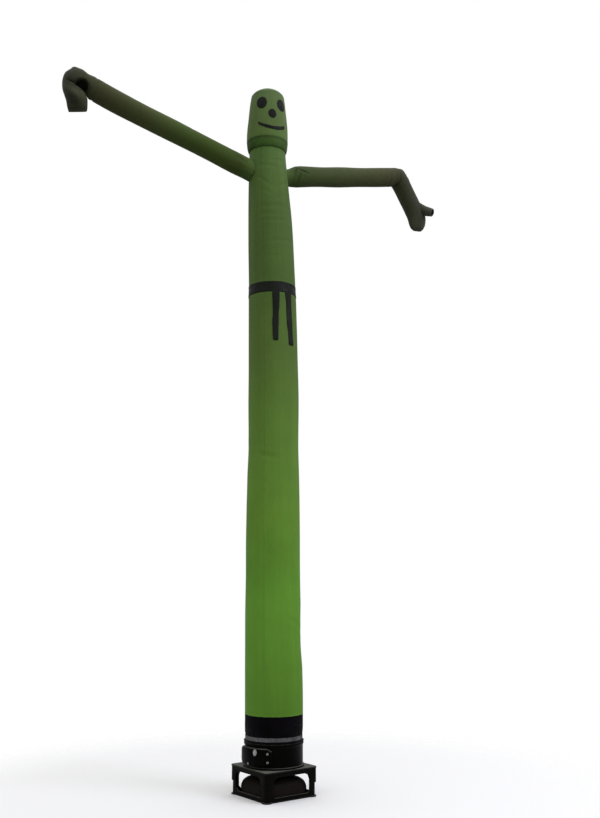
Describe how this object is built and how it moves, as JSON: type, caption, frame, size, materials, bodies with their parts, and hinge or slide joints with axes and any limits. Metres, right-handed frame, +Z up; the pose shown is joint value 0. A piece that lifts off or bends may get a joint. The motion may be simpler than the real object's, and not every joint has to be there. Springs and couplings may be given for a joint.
{
  "type": "inflatable air dancer on a fan blower",
  "caption": "Tall green inflatable tube figure with a smiling face, one raised and one bent arm, strapped to a square black fan blower.",
  "frame": {"origin": "centre of the blower's flat bottom pan, on the ground", "axes": "+Z up along the tube; -Y is where the face looks; +X is towards the bent arm, the viewer's right"},
  "size_m": [3.494, 0.8414, 5.885],
  "materials": {
    "green_cloth": "matte",
    "green_cloth_arm": "matte",
    "black_cloth": "matte",
    "grey_webbing": "matte",
    "black_housing": "satin",
    "motor_cover": "matte",
    "grey_plastic": "satin",
    "steel": "satin"
  },
  "bodies": {
    "root": {"body_tube": "green_cloth", "head": "green_cloth", "arm_raised": "green_cloth_arm", "arm_bent": "green_cloth_arm", "thumb_raised": "green_cloth_arm", "thumb_bent": "green_cloth_arm", "eye_left": "black_cloth", "eye_right": "black_cloth", "nose": "black_cloth", "mouth": "black_cloth", "belt_band": "black_cloth", "belt_tail_left": "black_cloth", "belt_tail_right": "black_cloth", "base_cuff": "black_cloth", "cuff_strap": "grey_webbing", "fan_drum": "black_housing", "base_plate": "black_housing", "base_frame": "black_housing", "base_pan": "black_housing", "motor_cover": "motor_cover", "control_box": "black_housing", "control_switch": "grey_plastic", "cover_screw_1": "steel", "cover_screw_2": "steel", "cover_screw_3": "steel"}
  },
  "joints": []
}
